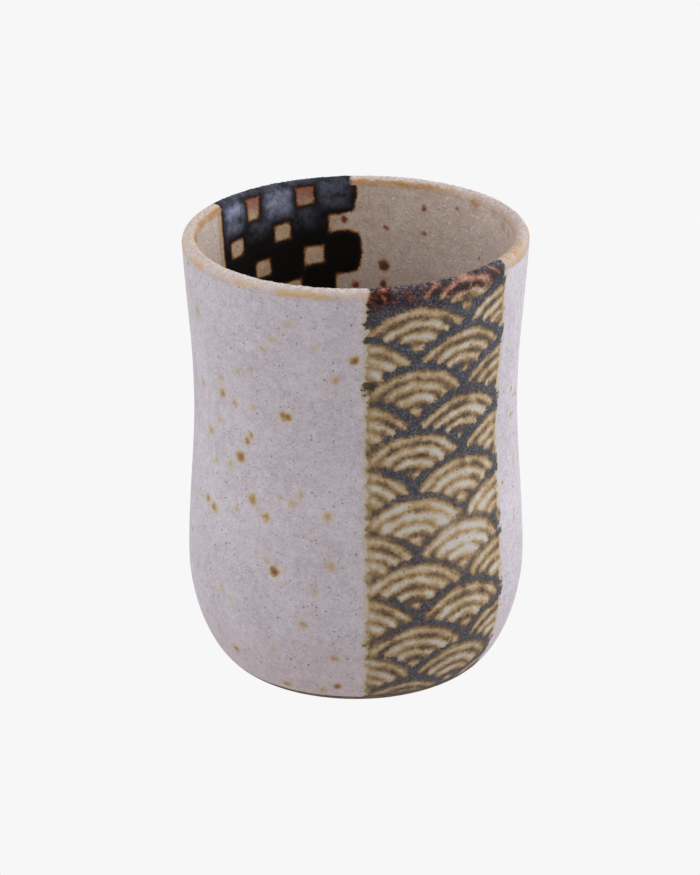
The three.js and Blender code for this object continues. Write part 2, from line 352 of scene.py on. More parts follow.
def coatShell():  # a closed coat of one thickness behind a sheet
    tree, add, size = newTree("coatShell", {"Sheet": "Geometry", "Thickness": "Float"})
    depth = add("MULTIPLY", size["Thickness"], -1.0)
    inward = add("VectorMath SCALE", add("InputNormal"), depth)
    sheet = add("StoreNamedAttribute FLOAT_VECTOR", size["Sheet"], True, "inward", inward)
    stored = add("InputNamedAttribute FLOAT_VECTOR", "inward")
    lifted = add("ExtrudeMesh", sheet, True, None, 0.0, False)
    below = add("BooleanMath NOT", lifted.outputs["Top"])
    front = add("SetPosition", lifted.outputs["Mesh"], below, None, stored)
    back = add("SetPosition", add("FlipFaces", sheet), True, None, stored)
    both = add("JoinGeometry", front)
    tree.links.new(back.outputs[0], both.inputs[0])
    coat = add("MergeByDistance", both, True, weld["coat"])
    add("NodeGroupOutput", add("RemoveAttribute", coat, "inward"))
    return tree


skinTree = turnedSkin()
shellTree = coatShell()


def pieceTree(name, extras=None, pattern=None, shelled=True):
    sizes = {**skinSizes, **inputKinds(extras or {}), "Thickness": "Float", "Material": "Material"}
    tree, add, size = newTree(name, sizes)
    sheet = add("GeometryNodeGroup", node_tree=skinTree, links={label: size[label] for label in skinSizes})
    if pattern:
        sheet = pattern(add, size, sheet)
    if shelled:
        parts = {"Sheet": sheet, "Thickness": size["Thickness"]}
        sheet = add("GeometryNodeGroup", node_tree=shellTree, links=parts)
    smooth = add("SetShadeSmooth", sheet, True, True, domain="FACE")
    turn = add("InputMeshEdgeAngle").outputs["Unsigned Angle"]
    crisp = add("Compare GREATER_THAN", turn, sharpFrom, data_type="FLOAT")
    smooth = add("SetShadeSmooth", smooth, crisp, False, domain="EDGE")
    whole = add("RealizeInstances", smooth)
    add("NodeGroupOutput", add("SetMaterial", whole, True, size["Material"]))
    return tree


def unrolled(add, radius):  # a point's place on the flattened wall
    around = add("MULTIPLY", add("InputNamedAttribute", "turnAngle"), radius)
    height = add("SeparateXYZ", add("InputPosition")).outputs["Z"]
    return add("CombineXYZ", around, height)


def rowAndColumn(add, index, columns):
    return add("FLOOR", add("DIVIDE", index, columns)), add("MODULO", index, columns)


def dots(add, size, count, middle, height, which):  # points on the flattened wall, each a little off its place
    least = add("MULTIPLY", size["Jitter"], -1.0)
    shift = add("RandomValue FLOAT_VECTOR", least, size["Jitter"], which, size["Seed"])
    spot = add("VectorMath ADD", add("CombineXYZ", middle, height), shift)
    return add("Points", count, add("VectorMath MULTIPLY", spot, (1.0, 1.0, 0.0)))


def endGap(add, size):  # how far a point is from the nearer end of its piece, as an angle
    angle = add("InputNamedAttribute", "turnAngle")
    first = add("SUBTRACT", angle, size["StartAngle"])
    return add("MINIMUM", first, add("SUBTRACT", size["EndAngle"], angle))


# Wave band: staggered fans of brush strokes left bare in an iron wash

waveBand = {
    "BandStart": 3.5 * degree,
    "BandEnd": 57.5 * degree,
    "BandRadius": 33.1 * mm,      # where widths round the cup are measured
    "FanAngle": 20.5 * degree,
    "FanSpacing": 21.4 * mm,
    "FanRowSpacing": 6.7 * mm,
    "TopCrown": 92.9 * mm,        # the highest row runs over the lip
    "FanRadius": 12.7 * mm,
    "CoreRadius": 4.3 * mm,
    "CoreReach": 7 * degree,
    "CoreThin": 0.36 * mm,        # how much narrower than a full stroke
    "OuterStrokeThin": 0.34 * mm,
    "MiddleStrokeThin": 0.04 * mm,
    "InnerStrokeThin": 0.06 * mm,
    "LineRadius": 13.8 * mm,      # the dark line drawn round each fan
    "FanColumns": 5,
    "FanRows": 15,
    "Jitter": 0.3 * mm,
    "Waver": 0.9 * mm,            # an unsteady brush
    "WaverSize": 3.2 * mm,
    "Turn": 2.2 * degree,
    "Seed": 11,
}
strokes = {"width": 1.6 * mm, "spacing": 2.45 * mm, "clear": 2.2 * mm}  # clear of the fans that overlap it
strokeNames = ("OuterStroke", "MiddleStroke", "InnerStroke")
arcPoints = 33


def strokeReach(radius, clear):  # half angle where an arc meets the two fans that overlap its own
    across = radius * waveBand["FanSpacing"]
    down = 2 * radius * waveBand["FanRowSpacing"]
    rest = radius ** 2 + (waveBand["FanSpacing"] / 2) ** 2 + waveBand["FanRowSpacing"] ** 2 - clear ** 2
    return math.asin(rest / math.hypot(across, down)) + math.atan2(down, across)


for place, name in enumerate(strokeNames):
    radius = waveBand["FanRadius"] - strokes["width"] / 2 - place * strokes["spacing"]
    waveBand[name + "Radius"] = radius
    waveBand[name + "Reach"] = strokeReach(radius, waveBand["FanRadius"] + strokes["clear"])
waveBand["LineReach"] = strokeReach(waveBand["LineRadius"], waveBand["LineRadius"])


def waveStrokes(add, size, sheet):
    index = add("InputIndex")
    row, column = rowAndColumn(add, index, size["FanColumns"])
    stagger = add("MULTIPLY_ADD", add("MODULO", row, 2.0), -0.5, -1.5)
    column = add("ADD", column, stagger)
    start = add("MULTIPLY", size["FanAngle"], size["BandRadius"])
    middle = add("MULTIPLY_ADD", column, size["FanSpacing"], start)
    top = add("SUBTRACT", size["TopCrown"], size["FanRadius"])
    height = add("SUBTRACT", top, add("MULTIPLY", row, size["FanRowSpacing"]))
    count = add("MULTIPLY", size["FanColumns"], size["FanRows"])
    fans = dots(add, size, count, middle, height, index)
    least = add("MULTIPLY", size["Turn"], -1.0)
    lean = add("RandomValue", least, size["Turn"], index, add("ADD", size["Seed"], 1.0))
    lean = add("CombineXYZ", 0.0, 0.0, lean)
    often = add("DIVIDE", 1.0, size["WaverSize"])
    here = shaken(add, unrolled(add, size["BandRadius"]), often, 0.5, size["Waver"], (1.0, 1.0, 0.0))
    gaps = {}
    for name in (*strokeNames, "Core", "Line"):
        first = add("SUBTRACT", math.pi / 2, size[name + "Reach"])
        sweep = add("MULTIPLY", size[name + "Reach"], 2.0)
        arc = add("CurveArc", arcPoints, size[name + "Radius"], first, sweep, mode="RADIUS")
        brush = add("CurveToMesh", arc)
        drawn = add("InstanceOnPoints", fans, links={"Instance": brush, "Rotation": lean})
        gaps[name] = add("Proximity", add("RealizeInstances", drawn), links={"Sample Position": here},
                         target_element="EDGES").outputs["Distance"]
    nearest = add("ADD", gaps["Core"], size["CoreThin"])
    for name in strokeNames:
        nearest = add("MINIMUM", add("ADD", gaps[name], size[name + "Thin"]), nearest)
    sheet = add("StoreNamedAttribute", sheet, True, "strokeGap", nearest)
    sheet = add("StoreNamedAttribute", sheet, True, "lineGap", gaps["Line"])
    angle = add("InputNamedAttribute", "turnAngle")
    left = add("SUBTRACT", angle, size["BandStart"])
    right = add("SUBTRACT", size["BandEnd"], angle)
    for label, side in (("leftGap", left), ("rightGap", right)):  # how far inside each edge of the band
        sheet = add("StoreNamedAttribute", sheet, True, label, add("MULTIPLY", side, size["BandRadius"]))
    return sheet


ironStand = {"Lift": 0.1 * mm, "Bed": 0.03 * mm}  # how proud the iron stands on its bed over the glaze
ironSink = {
    "byLip": 1.5 * mm,                     # how far below the lip it lies flush
    "lipBed": 0.012 * mm,
    "edge": (-2.4 * mm, -1.7 * mm, -0.08 * mm),  # where it goes under the glaze, and how deep
}


def ironRelief(add, size, sheet, thick, near, crestEdge):
    # iron stands proud, lies flush by the lip and sinks under the glaze beside the band
    away = add("ABSOLUTE", add("InputNamedAttribute", "crestGap"))
    fade = add("MapRange SMOOTHSTEP", away, crestEdge, crestEdge + ironSink["byLip"])
    bed = add("MapRange", fade, 0.0, 1.0, ironSink["lipBed"], size["Bed"])
    bed = add("MapRange", near, *ironSink["edge"], bed)
    lift = add("MULTIPLY", thick, size["Lift"])
    return raised(add, sheet, add("MULTIPLY_ADD", lift, fade, bed))


waveThick = {"inside": (-0.5 * mm, 1.2 * mm), "between": (0.5 * mm, 1.6 * mm, 0.1, 1.0)}


def wavePattern(add, size, sheet):  # the strokes, with the iron between them standing a little proud
    sheet = waveStrokes(add, size, sheet)
    left, right, gap = [add("InputNamedAttribute", label) for label in ("leftGap", "rightGap", "strokeGap")]
    near = add("MINIMUM", left, right)
    inside = add("MapRange SMOOTHSTEP", near, *waveThick["inside"])
    thick = add("MapRange SMOOTHSTEP", gap, *waveThick["between"])
    return ironRelief(add, size, sheet, add("MULTIPLY", inside, thick), near, cupShape["lipOutside"])


# Check band: staggered iron squares with bowed sides

checkBand = {
    "BandStart": 182 * degree,
    "BandEnd": 239.5 * degree,
    "RimDepth": 1.7 * mm,         # the iron runs over the lip in one dark strip
    "FirstAngle": 188 * degree,
    "MiddleAngle": 210 * degree,
    "CheckRadius": 29.8 * mm,
    "TopRow": 86.5 * mm,
    "SpacingAround": 5.9 * mm,
    "SpacingUp": 6.3 * mm,
    "WindowAround": 5.1 * mm,
    "WindowGrow": 0.35 * mm,      # lower rows were painted with wider windows
    "WindowUp": 5.4 * mm,
    "Bulge": 0.6 * mm,
    "Round": 0.5 * mm,
    "Join": 2.0 * mm,             # where two corners meet the iron bled across
    "Lean": 1.5 * degree,
    "Slope": -0.06,               # each row falls a little round the cup
    "CheckRowPairs": 3,
    "CheckColumns": 4,
    "Jitter": 0.2 * mm,
    "Seed": 5,
}
checkThick = (0.3 * mm, -0.5 * mm)  # from a square's outline, where its iron starts and where it is full
checkSink = -2.5 * mm  # how far inside its end the check's coat goes under the glaze


def checkSquares(add, size, odd):  # distance to the squares of every other row
    pair, column = rowAndColumn(add, add("InputIndex"), size["CheckColumns"])
    row = add("MULTIPLY_ADD", pair, 2.0, odd)
    which = add("MULTIPLY_ADD", row, size["CheckColumns"], column)
    steps = add("MULTIPLY_ADD", column, 2.0, odd)
    start = add("SUBTRACT", size["FirstAngle"], add("MULTIPLY", row, size["Lean"]))
    start = add("MULTIPLY", start, size["CheckRadius"])
    middle = add("MULTIPLY_ADD", steps, size["SpacingAround"], start)
    height = add("SUBTRACT", size["TopRow"], add("MULTIPLY", row, size["SpacingUp"]))
    level = add("SUBTRACT", middle, add("MULTIPLY", size["MiddleAngle"], size["CheckRadius"]))
    height = add("MULTIPLY_ADD", level, size["Slope"], height)
    count = add("MULTIPLY", size["CheckColumns"], size["CheckRowPairs"])
    squares = dots(add, size, count, middle, height, which)

    here = unrolled(add, size["CheckRadius"])
    nearest = add("SampleNearest", squares, here)
    centre = add("SampleIndex FLOAT_VECTOR", squares, add("InputPosition"), nearest)
    local = add("VectorMath ABSOLUTE", add("VectorMath SUBTRACT", here, centre))
    local = add("SeparateXYZ", local).outputs
    pair = rowAndColumn(add, nearest, size["CheckColumns"])[0]
    row = add("MULTIPLY_ADD", pair, 2.0, odd)
    wide = add("MULTIPLY_ADD", row, size["WindowGrow"], size["WindowAround"])
    half = {}
    for axis, spacing, window in (("X", "SpacingAround", wide), ("Y", "SpacingUp", size["WindowUp"])):
        half[axis] = add("MULTIPLY_ADD", window, -0.5, size[spacing])
    gaps = []
    for mine, other in (("X", "Y"), ("Y", "X")):
        share = add("MINIMUM", add("DIVIDE", local[other], half[other]), 1.0)
        share = add("SUBTRACT", 1.0, add("POWER", share, 2.0))
        side = add("MULTIPLY_ADD", share, size["Bulge"], half[mine])
        gaps.append(add("SUBTRACT", local[mine], side))
    return add("SMOOTH_MAX", *gaps, size["Round"])


def checkGap(add, size, sheet):  # squares that bled together at their corners, inside the painted band
    gaps = [checkSquares(add, size, odd) for odd in (0.0, 1.0)]
    gap = add("SMOOTH_MIN", *gaps, size["Join"])
    angle = add("InputNamedAttribute", "turnAngle")
    past = add("MULTIPLY", add("SUBTRACT", angle, size["BandEnd"]), size["CheckRadius"])
    before = add("MULTIPLY", add("SUBTRACT", size["BandStart"], angle), size["CheckRadius"])
    rim = add("SUBTRACT", add("InputNamedAttribute", "crestGap"), size["RimDepth"])
    gap = add("MINIMUM", gap, add("MAXIMUM", rim, before))
    return add("StoreNamedAttribute", sheet, True, "squareGap", add("MAXIMUM", gap, past))


def checkPattern(add, size, sheet):
    sheet = checkGap(add, size, sheet)
    near = add("MULTIPLY_ADD", endGap(add, size), size["CheckRadius"], checkSink)
    gap = add("InputNamedAttribute", "squareGap")
    thick = add("MapRange SMOOTHSTEP", gap, *checkThick)
    return ironRelief(add, size, sheet, thick, near, cupShape["lipInside"])


# Lip arcs: a sandy crest in four stretches

lipArcs = {  # node, slot, finish, first and last angle in degrees
    "lipIronFront": ("lip_iron_front", "iron_lip", "ironLipFront", 3.5, 57.5),
    "lipOchreRight": ("lip_ochre_right", "ochre_lip", "ochreLip", 57.5, 181),
    "lipIronBack": ("lip_iron_back", "iron_lip", "ironLipBack", 181, 240.5),
    "lipOchreLeft": ("lip_ochre_left", "ochre_lip", "ochreLip", 240.5, 363.5),
}
lipSand = {"SandSize": 0.7 * mm, "SandDepth": 0.5 * mm}
lipMesh = {"spacing": 0.3 * mm, "rows": 30}
sandReach = (2.5 * mm, 1.0 * mm)  # from the crest, where the sand starts and where it is full


def lipPattern(add, size, sheet):
    near = add("MULTIPLY", endGap(add, size), size["RimRadius"])
    sheet = add("StoreNamedAttribute", sheet, True, "endGap", near)
    grain = uneven(add, add("InputPosition"), add("DIVIDE", 1.0, size["SandSize"]), 2.0, 0.6)
    away = add("ABSOLUTE", add("InputNamedAttribute", "crestGap"))
    grain = add("MULTIPLY", grain, add("MapRange SMOOTHSTEP", away, *sandReach))
    return raised(add, sheet, add("MULTIPLY", grain, size["SandDepth"]))


def waveLipPattern(add, size, sheet):  # the top row of fans runs over the lip
    return lipPattern(add, size, waveStrokes(add, size, sheet))


def checkLipPattern(add, size, sheet):  # so does the top row of squares
    return lipPattern(add, size, checkGap(add, size, sheet))


# Materials

glazeLook = {
    "outer": ("#b4a8ae", "#c7bdc4", "#d5cdd5", "#554d56"),  # dark, middle and light glaze, then its specks
    "inner": ("#b19e92", "#c6b4a9", "#d6c7bd", "#93847a"),
    "cloudSize": 11 * mm,
    "mottleSize": 1.7 * mm,
    "grainSize": 0.5 * mm,      # real grains are about 0.2 mm, drawn coarser so that they show
    "shares": (0.22, 0.33, 0.45),  # of clouds, mottle and grain in the colour
    "toneStops": (0.36, 0.5, 0.64),
    "mottleRise": 0.8,
    "speckRise": -0.5,          # each speck is a pit
    "speckMost": 0.7,
    "warmLow": (1.07, 1.0, 0.97),  # the glaze turns warmer towards the foot
    "warmHeight": (22 * mm, 3 * mm),
    # painted shade down the well: from and to heights, then the colour's scale
    "wellPaintedShade": (64 * mm, 86 * mm, 0.82, 1.03),
    "specks": ((0.85 * mm, 0.2 * mm, 0.3), (3.1 * mm, 0.31 * mm, 0.25)),  # cell, widest radius, share left out
    "speckLeast": -0.08 * mm,
    "speckEdge": 0.09 * mm,
    "sugarCell": 1.0 * mm,
    "sugarSize": 0.32 * mm,
    "sugarLeast": 0.05 * mm,
    "sugarEdge": (-0.12, 0.16),
    "sugarMost": 0.7,
    "sugarNone": 0.1,           # share of cells left out
    "sugar": "#e0d4cc",
    "ochre": "#c9a677",
    "ochreInside": "#b0803f",
    "warmLip": (29.5 * mm, -13.5 * mm, 90 * mm),
    "sideShadeAndTint": ((1, (0.88, 0.83, 0.84)), (-1, (0.97, 0.92, 0.86))),  # the lip's right, darker as painted shade, and its left, tinted warmer
    "sand": "#dcd4d3",
    "tan": "#bca89c",
    # frost: pale crest grains, part worn glaze and part painted highlight
    "frostAndHighlight": "#a9a7b2",
    "bumpDepth": 0.1 * mm,
    "lipBump": 0.13 * mm,
    "sugarRise": 0.6,
    "sandRise": 1.2,
    "outerRough": (0.3, 0.7, 0.5, 0.66),
    "innerRough": (0.3, 0.7, 0.48, 0.64),
    "lipRough": (0.3, 0.7, 0.5, 0.72),
}
glazeSpots = [  # iron spots beside the wave band: azimuth in degrees, height and width in mm, darkness
    (-28.5, 30.3, 3.0, 1.0), (-44, 52, 3.4, 0.86), (-0.5, 76, 2.8, 0.95), (-25.5, 63, 2.8, 0.7),
    (-23.5, 63, 2.4, 0.8), (-40.5, 55.8, 2.4, 0.7), (-39.2, 57.4, 2.2, 0.6), (-7, 5.3, 2.8, 0.95),
    (-38, 44, 3.4, 0.62), (-32, 41.2, 2.8, 0.6), (-62, 39.7, 3.2, 0.6), (-57.5, 38.7, 3.4, 0.62),
    (-52.5, 63.8, 3.2, 0.62), (-61.5, 54.3, 3.2, 0.5), (-18, 20.2, 2.8, 0.55), (-49, 9.2, 3.2, 0.6),
    (-9.5, 43.2, 3.0, 0.5), (-7, 71.7, 2.8, 0.5), (-8.5, 33.3, 3.0, 0.42), (-31.5, 32.3, 3.0, 0.36),
    (-28, 3.8, 3.0, 0.6), (-13, 3.9, 2.8, 0.5), (-7.3, 12.8, 2.6, 0.55), (-66.5, 63.2, 3.2, 0.4),
    (-49, 49.7, 2.8, 0.4), (-57, 48.7, 3.0, 0.36), (-46, 63, 2.6, 0.5), (-37.5, 63.3, 2.8, 0.36),
    (-22, 45.2, 3.2, 0.34), (-66.5, 78.5, 3.2, 0.45), (-53.5, 67, 2.8, 0.36), (-47.5, 21.5, 2.6, 0.3),
    (-51.5, 22.8, 3.0, 0.3), (-13.5, 78, 2.8, 0.26), (-67, 39.3, 2.6, 0.34), (-22, 82.5, 2.6, 0.3),
    (-28.5, 78.8, 2.4, 0.3), (-32, 76.2, 2.4, 0.4), (-38, 71.5, 2.4, 0.34), (-44, 70, 2.6, 0.34),
    (-55, 57.8, 2.6, 0.3), (-27, 46, 2.4, 0.36), (-19, 47.3, 2.4, 0.4), (-45, 41, 2.4, 0.36),
    (-14, 27.5, 2.4, 0.36), (-30, 13, 2.4, 0.3), (-20, 11, 2.4, 0.26), (71, 60.9, 1.8, 0.6), (77, 84, 1.8, 0.45),
    (71, 55.5, 1.8, 0.7), (73.5, 45.9, 1.6, 0.45), (62, 43, 1.5, 0.7), (70.6, 35, 1.8, 0.5), (70, 33.5, 1.6, 0.4),
]
wellSpots = [  # the same on the inner wall
    (-191.5, 72, 3.4, 1.0), (-191.5, 68, 2.8, 0.9), (-180, 67.8, 2.6, 0.8), (-192, 80.1, 2.2, 0.62),
    (-207, 85, 2.0, 0.68), (-207.5, 79.7, 2.0, 0.6), (-175.5, 81.5, 2.4, 0.8), (-222, 86.5, 1.8, 0.5),
    (-235.5, 77.8, 1.6, 0.5),
]
spotsFrom = {"wave": -6, "check": -190}  # azimuth from which spots reach a band's own coat
spotCore = 0.62  # a spot's reach for its width
spotCover = (0.0, 0.55, 0.0, 0.95)
looseSpots = ("Red", 0.5, (-0.1, 0.26), (-0.05, 0.2), 0.85)  # channel, share left out, sizes, soft edge, darkest
looseSide = {"outer": (-13 * mm, -9 * mm, 0.32, 1.0), "inner": (13 * mm, 9 * mm)}  # from near side to far
spotTones = {
    "outer": {0.0: "#cdbb90", 0.3: "#bd9f64", 0.55: "#aa8447", 0.78: "#975f33", 0.97: "#673f22"},
    "inner": {0.0: "#b89a78", 0.3: "#a06c44", 0.55: "#83442a", 0.8: "#4c1f10", 1.0: "#2a110a"},
}
ochrePatches = [  # azimuth in degrees, height, reach and strength of warm patches under the lip
    (130, 88.9, 2.0, 0.75), (128.5, 88.2, 2.0, 0.6), (116.5, 88.6, 1.8, 0.4), (108.5, 87.5, 2.2, 0.55),
    (102, 87, 2.0, 0.5),
]
noiseSize = {
    "ochre": 1.6 * mm, "ochrePatch": 6 * mm, "spot": 1.4 * mm, "spotCell": 4.6 * mm, "broad": 1.8 * mm,
    "fine": 0.5 * mm, "stroke": 3.2 * mm, "thin": 6 * mm, "dash": 1.2 * mm, "rustPatch": 4 * mm, "rust": 1.5 * mm,
    "scale": 2.6 * mm, "sand": 0.55 * mm, "streak": 0.55 * mm, "clayPatch": 4 * mm, "claySand": 0.6 * mm,
}
ragged = {  # how far noise moves each outline
    "ochre": 1.8 * mm, "spot": 1.6 * mm, "stroke": 1.15 * mm, "strokeWidth": 1.9 * mm, "line": -0.8 * mm,
    "lineSway": -1.6 * mm, "rust": 4.5 * mm, "corner": 1.2 * mm, "edge": 1.3 * mm, "edgeSway": 1.8 * mm,
    "bleed": 1.5 * mm, "poolAndFootShade": 1.4 * mm, "check": 0.65 * mm, "lipEnd": 1.6 * mm,
}
ochrePatchy = (0.4, 0.6)
ochreWorn = (15 * mm, 22 * mm, 1.0, 0.3)  # the inner band is worn on the right
ochreBands = (  # start, middle and end from the crest, and the least share of each band
    (-3.2 * mm, -1.9 * mm, -0.6 * mm, 0.15), (0.6 * mm, 1.6 * mm, 3.0 * mm, 0.65),
)


def speckAmount(add, coords):
    amount = 0.0
    for cell, widest, none in glazeLook["specks"]:
        least, edge = glazeLook["speckLeast"] / cell, glazeLook["speckEdge"] / cell
        speck = grains(add, coords, cell, "Red", none, (least, widest / cell), (-edge, edge), glazeLook["speckMost"])
        amount = add("MAXIMUM", speck, amount)
    return amount


def ground(add, tones, coords):  # fired glaze: clouded colour, fine grain and dark iron specks
    cloud = add("TexNoise", coords, 1 / glazeLook["cloudSize"], 2.0, 0.5)
    mottle = add("TexNoise", coords, 1 / glazeLook["mottleSize"], 3.0, 0.6)
    grain = add("TexNoise", coords, 1 / glazeLook["grainSize"], 2.0, 0.6)
    blend = 0.0
    for noise, share in zip((cloud, mottle, grain), glazeLook["shares"]):
        blend = add("MULTIPLY_ADD", noise, share, blend)
    colour = add("ValToRGB", blend, stops=dict(zip(glazeLook["toneStops"], tones)))
    speck = speckAmount(add, coords)
    colour = add("Mix RGBA", speck, colour, tones[-1])
    height = add("MULTIPLY_ADD", mottle, glazeLook["mottleRise"], grain)
    return colour, add("MULTIPLY_ADD", speck, glazeLook["speckRise"], height), mottle


def outerGround(add, coords):
    colour, height, mottle = ground(add, glazeLook["outer"], coords)
    low = add("MapRange SMOOTHSTEP", add("SeparateXYZ", coords).outputs["Z"], *glazeLook["warmHeight"])
    return tinted(add, low, colour, glazeLook["warmLow"]), height, mottle


def innerGround(add, coords):  # painted shade darkens it down the well, with unmelted grains like sugar
    colour, height, mottle = ground(add, glazeLook["inner"], coords)
    cell = glazeLook["sugarCell"]
    sizes = (glazeLook["sugarLeast"] / cell, glazeLook["sugarSize"] / cell)
    sugar = grains(add, coords, cell, "Green", glazeLook["sugarNone"], sizes, glazeLook["sugarEdge"],
                   glazeLook["sugarMost"])
    colour = add("Mix RGBA", sugar, colour, glazeLook["sugar"])
    # painted shade: the colour scaled darker towards the bottom of the well, where less light reaches
    shade = add("MapRange", add("SeparateXYZ", coords).outputs["Z"], *glazeLook["wellPaintedShade"])
    return add("VectorMath SCALE", colour, shade), height, mottle, sugar


def crestOchre(add, coords):  # iron from the clay warms two bands beside the worn crest
    rough = uneven(add, coords, 1 / noiseSize["ochre"], 3.0, 0.65)
    gap = add("MULTIPLY_ADD", rough, ragged["ochre"], add("Attribute crestGap").outputs["Fac"])
    patchy = add("TexNoise", coords, 1 / noiseSize["ochrePatch"], 2.0, 0.5)
    bands = []
    for start, middle, stop, least in ochreBands:
        rise = add("MapRange SMOOTHSTEP", gap, start, middle)
        fall = add("MapRange SMOOTHSTEP", gap, middle, stop, 1.0, 0.0)
        bands.append(limited(add, add("MULTIPLY", rise, fall), patchy, *ochrePatchy, least, 1.0))
    inside = limited(add, bands[1], add("SeparateXYZ", coords).outputs["X"], *ochreWorn)
    for azimuth, height, reach, strength in ochrePatches:
        patch = nearness(add, coords, onWall(azimuth, height, True), reach * mm, strength)
        inside = add("MAXIMUM", inside, patch)
    return bands[0], inside, gap


def addSpots(add, coords, colour, spots, tones, inside=False):
    moved = shaken(add, coords, 1 / noiseSize["spot"], 0.6, ragged["spot"])
    # spots of no fixed place, faint on the near side
    loose = grains(add, moved, noiseSize["spotCell"], *looseSpots)
    side = add("SeparateXYZ", coords).outputs["Y"]
    amount = limited(add, loose, side, *looseSide["inner" if inside else "outer"])
    for azimuth, height, width, dark in spots:
        spot = nearness(add, moved, onWall(azimuth, height, inside), width * spotCore * mm, dark)
        amount = add("MAXIMUM", amount, spot)
    tone = add("ValToRGB", amount, stops=tones)
    return add("Mix RGBA", add("MapRange", amount, *spotCover), colour, tone)


def emptyTree(thing):  # a material's or the world's own tree, ready for nodes
    thing.use_nodes = True
    thing.node_tree.nodes.clear()
    return partial(addNode, thing.node_tree)


def finish(add, colour, rough, height, shine=0.5, depth=glazeLook["bumpDepth"]):
    bump = add("Bump", 1.0, depth, links={"Height": height})
    surface = add("BsdfPrincipled", links={
        "Base Color": colour, "Roughness": rough, "Specular IOR Level": shine, "Normal": bump})
    add("OutputMaterial", surface)


def outerGlaze(add, coords):
    # feldspar glaze on stoneware, fired satin: soft mauve grey, hazy highlights, iron spots that bled into it
    colour, height, mottle = outerGround(add, coords)
    colour = addSpots(add, coords, colour, glazeSpots, spotTones["outer"])
    colour = add("Mix RGBA", crestOchre(add, coords)[0], colour, glazeLook["ochre"])
    finish(add, colour, add("MapRange", mottle, *glazeLook["outerRough"]), height)


def innerGlaze(add, coords):
    # the same glaze inside, warmer where it pooled and took up iron, with a sugary skin
    colour, height, mottle, sugar = innerGround(add, coords)
    colour = addSpots(add, coords, colour, wellSpots, spotTones["inner"], inside=True)
    colour = add("Mix RGBA", crestOchre(add, coords)[1], colour, glazeLook["ochreInside"])
    height = add("MULTIPLY_ADD", sugar, glazeLook["sugarRise"], height)
    finish(add, colour, add("MapRange", mottle, *glazeLook["innerRough"]), height)


ironLook = {
    "fan": {0.0: "#c3bfb7", 0.14: "#bcad98", 0.3: "#b69a75", 0.48: "#a08258", 0.66: "#876b4b", 0.9: "#5f4a3b"},
    "lipFan": {0.0: "#b38b76", 0.25: "#956655", 0.45: "#5e4238", 0.7: "#372d2f"},
    "slate": {0.0: "#28262c", 0.45: "#36343c", 0.75: "#46454f", 1.0: "#636475"},
    "check": {0.0: "#cbb398", 0.25: "#b9966a", 0.43: "#80573a", 0.58: "#3c2117", 0.74: "#171314"},
    "rust": {0.4: "#1a0d0c", 0.47: "#3a1b15", 0.54: "#74351d", 0.65: "#ae6a42"},
    "bleed": "#2a190c", "fringe": "#957c48", "halo": "#c1ac7b", "washed": "#c6bfba", "dash": "#3a2d26",
    # the check's bluish sheen colour is a painted reflection on the black iron
    "speck": "#43352a", "black": "#0c0a0a", "paintedSheen": "#a0a5c2", "poolAndFootShade": "#2e1d18",
    "rustTint": (0.62, 0.42, 0.44),
    "stainTint": (0.89, 0.8, 0.63),
    "fanDepth": 1.45 * mm,  # from the middle of a stroke to the brown line beside it
    "slateGrain": 0.3 * mm,
    "shine": 0.12,          # thick iron fires drier than the glaze
}
washes = [((20, -26, 37), 15, 1.0), ((9, -32, 41), 11, 0.6), ((17, -29, 50), 9, 0.35)]  # place, reach in mm, amount
washFull = 2 * mm
washThins, washClears = 0.45, 0.6  # how much of the brown and of the slate a wash takes away
waveRamps = {  # from and to along a distance or a noise, then the results if they aren't nought and one
    "thinLow": (62 * mm, 30 * mm, 0.0, 0.4 * mm),
    "thinBeside": (80 * mm, 75 * mm, 0.3 * mm, 1.15 * mm),
    "beside": (5 * mm, 0.0),
    "thinPatch": (0.4, 0.65, 0.0, 0.28),
    "washed": (0.35, 0.05),
    "dashes": (0.5, 0.62, 0.0, 0.8),
    "between": (0.45, 0.75),
    "rusty": (85.9 * mm, 88.2 * mm),
    "line": (1.15 * mm, 0.6 * mm),
    "clear": (0.55 * mm, 1.0 * mm),
    "open": (1.4 * mm, 1.8 * mm),
    "cornerTop": (83.0 * mm, 83.8 * mm),
    "corner": (11 * mm, 8 * mm),
    "rustHalf": (19 * mm, 14 * mm, 0.1, 1.0),
    "rustSome": (0.42, 0.6, 0.05, 0.6),
    "rustMost": (6.5 * mm, 4 * mm, 0.0, 0.95),
    "leftEdge": (2.6 * mm, 0.2 * mm, 0.0, 0.6),
    "edgePatch": (0.42, 0.56, 0.15, 1.0),
}
cornerSlope = -0.36    # how the dark top corner falls away from the band's left edge
fadeBeside = 400.0     # turns how much thinner a line is, in metres, into how far the iron faded


def ironEdge(add, coords):  # ragged outlines, coarse with fine and coarse alone
    broad = uneven(add, coords, 1 / noiseSize["broad"], 3.0, 0.6)
    return add("ADD", broad, uneven(add, coords, 1 / noiseSize["fine"], 2.0, 0.6)), broad


